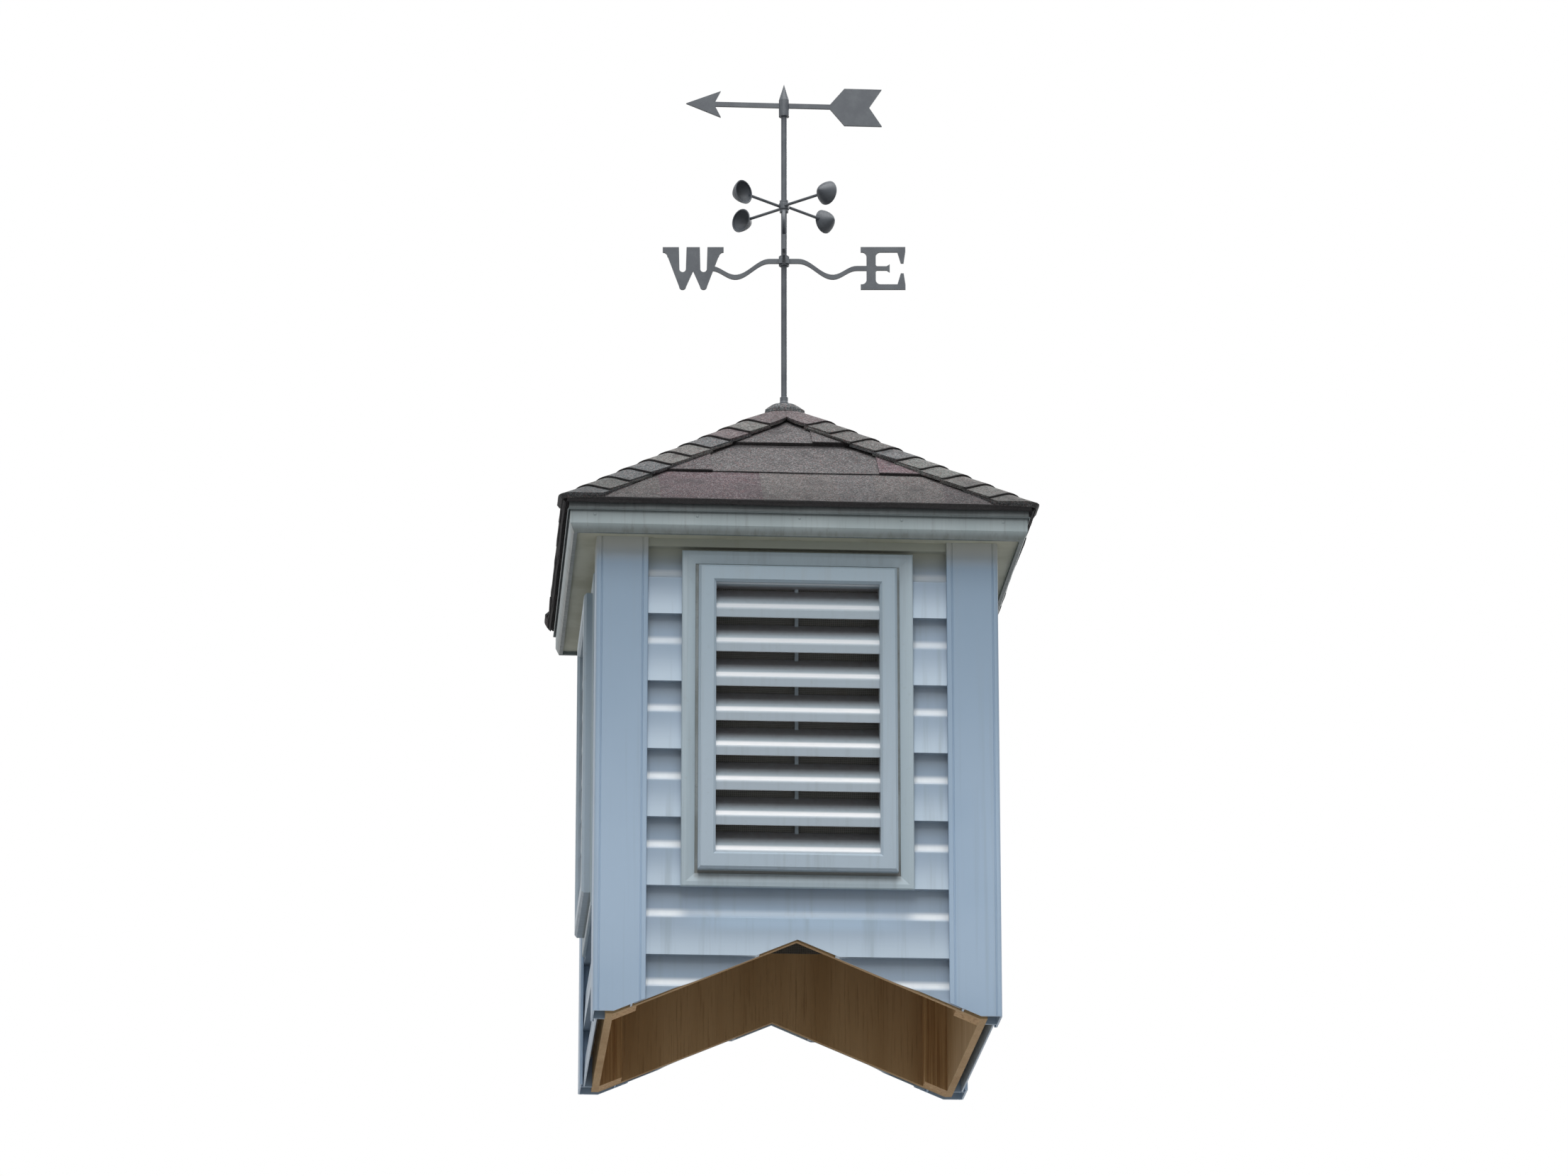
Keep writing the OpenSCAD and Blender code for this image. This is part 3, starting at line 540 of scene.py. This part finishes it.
# Shingles
# Laminated asphalt shingles lie on each slope in courses, over a starter course at the eave. A
# course is a strip with tabs of random widths stuck on it. It is nailed under the next one, and
# its ends follow the hips.
roof_rise = 9 / 12
pitch = math.atan(roof_rise)
exposure = 0.152
course_drop = 0.014
head_lap = 0.002
setback = 0.001
overhang = 0.001
butt_top = 0.010
lap_fall = 0.005 / exposure
droop = 0.0025
droop_length = 0.025
tab_thickness = 0.003
tab_share = 0.62
strip_thickness = 0.0045
starter_top = 0.0052
starter_head = 0.11
starter_thickness = 0.0048
hip_gap = 0.004
tip_room = 0.006
narrowest_tab = 0.06
widest_tab = 0.17
shortest_tab = 0.02
column_width = 0.012
slope_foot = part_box("shingles_front")[0].z
eave_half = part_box("shingles_front")[1].x
slope_length = eave_half / math.cos(pitch)
course_half = eave_half + overhang
tab_tones = [
    (100, 84, 90), (91, 77, 83), (91, 91, 92), (83, 82, 83), (95, 93, 92), (78, 75, 77), (90, 88, 95),
]


def on_slope(across, up, out):
    """Points of the front slope from distances across the eave, up the slope and out of it."""
    plan = up * math.cos(pitch) - out * math.sin(pitch) - eave_half
    height = up * math.sin(pitch) + out * math.cos(pitch) + slope_foot
    return np.stack(np.broadcast_arrays(across, plan, height), -1)


def slab_skin(top, bottom):
    """A closed skin of two grids with the same rows and columns, joined by a band round their edges."""
    rows, columns = top.shape[:2]
    number = np.arange(rows * columns).reshape(rows, columns)
    quads = np.stack([number[:-1, :-1], number[:-1, 1:], number[1:, 1:], number[1:, :-1]], -1)
    quads = quads.reshape(-1, 4)
    rim = np.concatenate([number[0], number[1:, -1], number[-1, -2::-1], number[-2:0:-1, 0]])
    after = np.roll(rim, -1)
    under = rows * columns
    band = np.stack([rim, rim + under, after + under, after], -1)
    points = np.concatenate([top.reshape(-1, 3), bottom.reshape(-1, 3)])
    return {"points": points, "faces": [*quads, *(quads[:, ::-1] + under), *band]}


def shingle_skin(side, random, butt, head, left, right, top, thickness, colour):
    """A slab from its butt edge up to its head. Its sides are straight until they meet a hip, its
    butt edge wanders, and its top falls evenly from the butt towards the head. At a distance d from
    the eave it droops by droop times (1 - d / droop_length)^2, and past droop_length not at all. A
    tab that a hip would leave too short isn't made."""
    inner = max(left, -right, 0.0) + hip_gap + tip_room
    head = min(head, slope_length * (1 - inner / eave_half))
    if head - butt < shortest_tab:
        return None
    rows = 9
    columns = max(4, int((right - left) / column_width))
    share = np.linspace(0, 1, rows)[:, None]
    up = butt + (head - butt) * share
    reach = eave_half * (1 - up / slope_length) - hip_gap
    start = np.clip(left, -reach, reach)
    end = np.clip(right, -reach, reach)
    across = start + (end - start) * np.linspace(0, 1, columns)[None, :]
    edge = wander(random, across, 0.0005) + random.uniform(-0.0008, 0.0008)
    moved = up + edge * (1 - share)
    out = top - lap_fall * (moved - butt) + wander(random, across + 0.4 * up, 0.0002)
    out = out - droop * np.clip(1 - moved / droop_length, 0, 1) ** 2
    skin = slab_skin(on_slope(across, moved, out), on_slope(across, moved, out - thickness))
    skin["points"] = turned(skin["points"], side)
    flat = np.stack([across, moved - butt], -1).reshape(-1, 2)
    skin["flat"] = np.concatenate([flat, flat])
    skin["tone"] = colour
    return skin


def tab_colour(random, shade=1.0, blend=tab_tones):
    """One of the blend's tones, a little lighter or darker."""
    picked = np.array(tone(*blend[random.integers(len(blend))]))
    return np.array([*(picked[:3] * shade * random.uniform(0.85, 1.08)), 1.0])


def shingle_looks(place):
    """Granules as coloured cells over each tab's own tone, a black line of asphalt along its butt edge
    that fades over 5 mm of the top as painted shadow and is lighter at the eave, a printed shade line
    under the next butt, and dark blotches and streaks down the slope. It is darkest near the eaves,
    which dry last."""
    flat = place.node("ShaderNodeUVMap", {"uv_map": "flat"}, {})
    base = place.node("ShaderNodeAttribute", {"attribute_name": "tone"}, {})
    _, up, _ = flat.parts()
    _, _, height = place.parts()
    granules = {"Vector": place, "Scale": 620.0}
    cells = place.node("ShaderNodeTexVoronoi", {}, granules, "Color")
    depth = place.node("ShaderNodeTexVoronoi", {}, granules, "Distance")
    grey, red, _ = cells.parts()
    mottle = place.noise(110, 4, 0.7)
    blotches = place.noise(17, 4, 0.65)
    streaks = place.stretched(26, 26, 4).noise(1, 3, 0.6)
    damp = height.fall(slope_foot, slope_foot + 0.11)
    asphalt = height.rise(slope_foot + 0.01, slope_foot + 0.03).over(tone(56, 55, 56), tone(36, 34, 35))
    colour = (grey.rise(0.5, 1.0) * 0.5).over(base, tone(164, 161, 162))
    colour = (grey.fall(0.0, 0.4) * 0.7).over(colour, tone(46, 44, 46))
    colour = (red.rise(0.86, 0.92) * 0.5).over(colour, tone(126, 88, 86))
    colour = (mottle.rise(0.45, 0.75) * 0.4).over(colour, tone(64, 61, 63))
    colour = (blotches.rise(0.55, 0.66) * 0.4).over(colour, tone(56, 54, 56))
    colour = (streaks.rise(0.58, 0.75) * 0.4).over(colour, tone(52, 50, 52))
    colour = (damp * (0.2 + 0.5 * streaks)).over(colour, tone(50, 50, 51))
    colour = (up.rise(exposure - 0.02, exposure - 0.008) * 0.8).over(colour, tone(30, 28, 30))
    # Asphalt black along the butt edge, fading over 5 mm of the top as painted shadow.
    colour = (up.fall(0.0, 0.005) * 0.88).over(colour, asphalt)
    return {"Base Color": colour, "Roughness": 0.9 - 0.12 * grey, "Relief": depth * -0.0006}


def slope_skins(side, random):
    """The skins of one slope: a starter course at the eave, then a strip and tabs for each course.
    Above the first course a tab is left out here and there, and the strip shows between its
    neighbours."""
    colour = tab_colour(random, shade=0.7)
    skins = [shingle_skin(side, random, setback - overhang, starter_head, -course_half, course_half,
                          starter_top, starter_thickness, colour)]
    for course in range(math.ceil(slope_length / exposure)):
        butt = course * exposure - (course_drop if course else overhang)
        head = (course + 1) * exposure + head_lap
        colour = tab_colour(random, shade=0.85)
        skins.append(shingle_skin(side, random, butt + setback, head, -course_half, course_half,
                                  butt_top - tab_thickness, strip_thickness, colour))
        left = -course_half + random.uniform(-0.1, 0.0)
        while left < course_half:
            right = left + random.uniform(narrowest_tab, widest_tab)
            if random.random() < tab_share or course == 0:
                colour = tab_colour(random)
                skins.append(shingle_skin(side, random, butt, head, max(left, -course_half),
                                          min(right, course_half), butt_top, tab_thickness, colour))
            left = right
    return [skin for skin in skins if skin]


shingle = new_material("shingle", 0.25, shingle_looks)
for side, side_name in enumerate(side_names):
    skins = slope_skins(side, np.random.default_rng(40 + side))
    build_piece(f"shingle_tabs_{side_name}", skins, shingle, replaces=[f"shingles_{side_name}"])


# Hip caps
# Each hip is closed by a row of caps cut from the same shingles, folded over the hip and nailed
# one over the end of the other, from the eave up to the apex. Two more lie under the first one.
cap_reach = 0.05
cap_exposure = 0.056
cap_length = 0.118
cap_thickness = 0.0033
cap_top = 0.0162
cap_fall = 0.0032 / cap_exposure
cap_clearance = 0.006
eave_lap = 0.001
shortest_cap = 0.01
fold_radius = 0.007
edge_lift = 0.0012
cap_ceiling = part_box("hip_caps_front_left")[1].z
hip_up = np.array([eave_half, eave_half, eave_half * roof_rise])
hip_length = np.linalg.norm(hip_up)
hip_up = hip_up / hip_length
hip_level = np.array([1, -1, 0]) / math.sqrt(2)
hip_out = np.cross(hip_level, hip_up)
fold = math.acos(np.dot([0, -math.sin(pitch), math.cos(pitch)], hip_out))
cap_end = (cap_ceiling - slope_foot - cap_top / math.cos(pitch)) / hip_up[2]
cap_overhang = overhang * hip_length / slope_length
level_cut = math.sin(fold) * hip_out[2] / hip_up[2]
cap_tones = [(98, 103, 100), (90, 96, 98), (104, 106, 103), (85, 87, 85), (98, 90, 92)]


def on_hip(side, along, leg, height):
    """Points over a hip from distances along it, out along a leg, and off the deck. Across the hip
    the leg falls by sin(fold) times sqrt(leg^2 + radius^2), which rounds the ridge, and near the
    apex it stops at the middle of its slope."""
    rounded = np.sqrt(leg ** 2 + fold_radius ** 2)
    drop = rounded - math.hypot(cap_reach, fold_radius) + cap_reach
    level = leg * math.cos(fold) + height * math.sin(fold) * leg / rounded
    out = height * math.cos(fold) - drop * math.sin(fold)
    corner = np.array([-eave_half, -eave_half, slope_foot])
    points = corner + along[..., None] * hip_up + level[..., None] * hip_level + out[..., None] * hip_out
    points[..., :2] = np.minimum(points[..., :2], 0)
    return turned(points, side)


def cap_skin(side, random, start, top, colour):
    """A folded cap: its lower edge crosses the hip, or at the eave follows both slopes' edges, and at
    the apex its upper edge is cut level."""
    rows = 5
    columns = 19
    share = np.linspace(0, 1, rows)[:, None]
    leg = np.linspace(-1, 1, columns)[None, :] * (cap_reach + random.uniform(-0.0015, 0.0015))
    leg = leg + random.uniform(-0.0012, 0.0012) + 0 * share
    eave_line = np.abs(leg) * math.cos(pitch) - eave_lap - cap_overhang
    low = np.maximum(start + random.uniform(-0.02, 0.02) * leg + wander(random, leg, 0.0004), eave_line)
    high = np.minimum(start + cap_length, cap_end + level_cut * np.abs(leg))
    high = np.maximum(high, eave_line + shortest_cap)
    along = low + (high - low) * share
    height = top - cap_fall * (along - start) + wander(random, leg * 3 + along, 0.0002)
    height = np.maximum(height, cap_thickness + cap_clearance) + edge_lift * (leg / cap_reach) ** 4
    skin = slab_skin(on_hip(side, along, leg, height), on_hip(side, along, leg, height - cap_thickness))
    flat = np.stack([leg, along - start], -1).reshape(-1, 2)
    skin["flat"] = np.concatenate([flat, flat])
    skin["tone"] = colour
    return skin


for side, corner_name in enumerate(corner_names):
    random = np.random.default_rng(90 + side)
    skins = []
    for layer in (2, 1):
        top = cap_top - cap_thickness * layer
        skins.append(cap_skin(side, random, -cap_overhang, top, tab_colour(random, 0.9, cap_tones)))
    for number in range(math.floor((cap_end + cap_overhang) / cap_exposure)):
        start = number * cap_exposure - cap_overhang
        skins.append(cap_skin(side, random, start, cap_top, tab_colour(random, 1.0, cap_tones)))
    build_piece(f"cap_row_{corner_name}", skins, shingle, replaces=[f"hip_caps_{corner_name}"])


# Apex cap
# One square of the same shingle is bent over the cut ends of the four rows of caps, and nailed
# down under the flat socket of the rod.
apex_flat_half = 0.018
apex_half = 0.033
apex_rise = 0.9
apex_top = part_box("apex_cap")[1].z
apex_thickness = apex_top - cap_ceiling
bend_radius = 0.005
squareness = 3.5
plain_up = 0.05


def apex_skin(random):
    """Height over X and Y: flat in the middle, and past the flat it falls onto the caps. The distance
    from the rod is (|x|^s + |y|^s)^(1/s), where the squareness s rounds the hips, and the bend at the
    flat's edge is (d + sqrt(d^2 + r^2)) / 2, where d is the distance past the flat and r the radius of
    the bend. Its UV place is a stretch of a tab with no asphalt and no shade line."""
    line = np.linspace(-apex_half, apex_half, 41)
    x, y = np.meshgrid(line, line)
    edge = wander(random, x + 2 * y, 0.0004)
    past = (np.abs(x) ** squareness + np.abs(y) ** squareness) ** (1 / squareness) - apex_flat_half
    fall = (past + np.sqrt(past ** 2 + bend_radius ** 2)) / 2
    height = apex_top - apex_rise * fall + edge * (past > 0)
    under = apex_top - apex_thickness / math.cos(pitch) - apex_rise * fall
    skin = slab_skin(np.stack([x, y, height], -1), np.stack([x, y, under], -1))
    flat = np.stack([x, y * 0 + plain_up], -1).reshape(-1, 2)
    skin["flat"] = np.concatenate([flat, flat])
    skin["tone"] = tab_colour(random, 1.05, cap_tones)
    return skin


apex_fold = apex_skin(np.random.default_rng(7))
build_piece("apex_fold", [apex_fold], shingle, replaces=["apex_cap"])


# Weathervane
# Steel rod, cut plate letters on wavy arms, and an arrow on a sleeve, all in dark enamel that
# has dulled and chips to rust at its edges.
def enamel_looks(place):
    """Dull dark paint with a faint orange peel, lighter dust, and pinholes of rust."""
    peel = place.noise(700, 2)
    dust = place.noise(26, 4, 0.6)
    rust = place.noise(160, 4, 0.7)
    colour = dust.rise(0.35, 0.7).over(tone(62, 67, 74), tone(84, 89, 94))
    colour = (rust.rise(0.66, 0.74) * 0.6).over(colour, tone(92, 62, 46))
    return {
        "Base Color": colour,
        "Roughness": 0.36 + 0.3 * dust,
        "Relief": peel * 0.00004 + rust * 0.00008,
    }


enamel = new_material("dark_enamel", 0.5, enamel_looks)
coat(enamel, "rod", "rod_socket", "compass_hub", "arrow")
coat(enamel, "compass_south", "compass_east", "compass_north", "compass_west")


# Wind rotor
# Four spun cups, each with a rolled rim, on spokes that screw into a turned hub. It spins on
# the rod between two collars, and all its cups face the same way round.
rotor_low, rotor_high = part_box("wind_rotor")
rotor_height = (rotor_low.z + rotor_high.z) / 2
rotor_turn = math.radians(43)
cup_reach = 0.102
cup_radius = 0.0205
cup_depth = 0.024
cup_point = 1.5
cup_wall = 0.0012
rim_bead = 0.0014
hub_radius = 0.009
hub_half = 0.006
hub_bevel = 0.0012
bore_radius = 0.0053
spoke_radius = 0.0025
spoke_back = 0.004
spoke_root = hub_radius - 0.002
spoke_end = cup_reach - cup_radius + 0.003


def cup_profile():
    """A pointed egg: radius r sin(t)^p and height -d cos(t)^p outside, where p over 1 points its tip,
    a round bead at the rim, and the same inside."""
    turn = np.linspace(0.06, math.pi / 2, 14)
    out = np.sin(turn) ** cup_point
    back = np.maximum(np.cos(turn), 0) ** cup_point
    outer = np.stack([cup_radius * out, -cup_depth * back], -1)
    inner = np.stack([(cup_radius - cup_wall) * out, -(cup_depth - cup_wall) * back], -1)
    round_rim = np.linspace(0, math.pi, 7)[1:-1]
    rim_middle = cup_radius - cup_wall / 2
    rim = np.stack([rim_middle + rim_bead * np.cos(round_rim), rim_bead * np.sin(round_rim)], -1)
    return np.concatenate([outer[:-1], rim, inner[-2::-1]])


def placed_on_rotor(points, quarter):
    """Points of one arm of the rotor, turned about Z to its place and raised to the hub."""
    angle = rotor_turn + quarter * math.pi / 2
    x, y, z = np.moveaxis(points, -1, 0)
    turned_x = x * math.cos(angle) - y * math.sin(angle)
    turned_y = x * math.sin(angle) + y * math.cos(angle)
    return np.stack([turned_x, turned_y, z + rotor_height], -1)


hub_profile = [
    [bore_radius, -hub_half], [hub_radius - hub_bevel, -hub_half], [hub_radius, -hub_half + hub_bevel],
    [hub_radius, hub_half - hub_bevel], [hub_radius - hub_bevel, hub_half], [bore_radius, hub_half],
]
spoke_profile = [[spoke_radius, spoke_root], [spoke_radius, spoke_end]]
x, y, z = np.moveaxis(revolved(cup_profile(), 40), -1, 0)
cup = np.stack([x + cup_reach, z, -y], -1)
x, y, z = np.moveaxis(revolved(spoke_profile, 20), -1, 0)
spoke = np.stack([z, x - spoke_back, y], -1)
rotor_skins = [tube_skin(placed_on_rotor(revolved(hub_profile, 40), 0), False)]
for quarter in range(4):
    rotor_skins.append(tube_skin(placed_on_rotor(cup, quarter), True))
    rotor_skins.append(tube_skin(placed_on_rotor(spoke, quarter), True))
build_piece("wind_cups", rotor_skins, enamel, body="rotor", replaces=["wind_rotor"])


# Floor, light and camera
# A pale floor that fades into a white surround, four soft lamps, and the photograph's point of
# view, which is low and a little to the left.
def new_floor(half, foot_half):
    """A pale floor that takes a shadow and throws little light back up. Seen from below it is clear,
    far out it fades, and under the open foot of the walls it lets light through."""
    corners = [(-half, -half, 0), (half, -half, 0), (half, half, 0), (-half, half, 0)]
    mesh = bpy.data.meshes.new("floor")
    mesh.from_pydata(corners, [], [(0, 1, 2, 3)])
    material = bpy.data.materials.new("floor")
    material.use_nodes = True
    tree = material.node_tree
    tree.nodes.clear()
    place = Wire(tree, tree.nodes.new("ShaderNodeTexCoord").outputs["Object"])
    distance = place.node("ShaderNodeVectorMath", {"operation": "LENGTH"}, {0: place}, "Value")
    behind = Wire(tree, tree.nodes.new("ShaderNodeNewGeometry").outputs["Backfacing"])
    seen = Wire(tree, tree.nodes.new("ShaderNodeLightPath").outputs["Is Camera Ray"])
    pale = place.node("ShaderNodeBsdfDiffuse", {}, {"Color": (0.8, 0.8, 0.8, 1)})
    dim = place.node("ShaderNodeBsdfDiffuse", {}, {"Color": (0.35, 0.35, 0.35, 1)})
    clear = place.node("ShaderNodeBsdfTransparent", {}, {})
    near = place.node("ShaderNodeMixShader", {}, {0: seen, 1: dim, 2: pale})
    under_foot = outward(place).fall(foot_half, foot_half + 0.001) * (1 - seen)
    gone = distance.rise(1.2, 3.6).maths("MAXIMUM", behind * seen).maths("MAXIMUM", under_foot)
    mixed = place.node("ShaderNodeMixShader", {}, {0: gone, 1: near, 2: clear})
    tree.links.new(mixed.socket, tree.nodes.new("ShaderNodeOutputMaterial").inputs["Surface"])
    mesh.materials.append(material)
    floor = bpy.data.objects.new("floor", mesh)
    bpy.context.scene.collection.objects.link(floor)


def facing(place, aim):
    """The turn of a lamp or camera at a place that looks at a point."""
    return (Vector(aim) - Vector(place)).to_track_quat("-Z", "Y").to_euler()


def new_lamp(name, place, aim, size, power):
    """A square softbox that faces a point and that the camera doesn't see."""
    light = bpy.data.lights.new(name, "AREA")
    light.size = size
    light.energy = power
    lamp = bpy.data.objects.new(name, light)
    lamp.location = place
    lamp.rotation_euler = facing(place, aim)
    lamp.visible_camera = False
    bpy.context.scene.collection.objects.link(lamp)


def new_surround(strength):
    """White to the camera and in reflections, and a plain even light on everything."""
    world = bpy.data.worlds.new("surround")
    bpy.context.scene.world = world
    world.use_nodes = True
    tree = world.node_tree
    background = tree.nodes["Background"]
    path = tree.nodes.new("ShaderNodeLightPath")
    rays = [Wire(tree, path.outputs[f"Is {kind} Ray"]) for kind in ("Camera", "Glossy", "Transmission")]
    seen = rays[0].maths("MAXIMUM", rays[1].maths("MAXIMUM", rays[2]))
    level = strength + (1 - strength) * seen
    background.inputs["Color"].default_value = (1, 1, 1, 1)
    tree.links.new(level.socket, background.inputs["Strength"])


new_floor(half=6.0, foot_half=0.335)
new_surround(strength=0.34)
body_middle = (0, 0, 0.86)
new_lamp("overhead", (0.3, -1.6, 5.6), body_middle, size=4.0, power=240)
new_lamp("key", (-0.8, -5.6, 5.2), body_middle, size=3.0, power=160)
new_lamp("left_fill", (-5.2, 0.6, 4.4), body_middle, size=3.0, power=34)
new_lamp("back_fill", (4.0, 5.2, 4.8), body_middle, size=3.0, power=290)

camera_data = bpy.data.cameras.new("camera")
camera_data.lens = 140
camera_data.sensor_width = 36
camera = bpy.data.objects.new("camera", camera_data)
camera.location = (-0.675, -9.885, -2.135)
camera.rotation_euler = facing(camera.location, (0, 0, 0.81))
bpy.context.scene.collection.objects.link(camera)
bpy.context.scene.camera = camera
bpy.context.scene.view_settings.view_transform = "Standard"
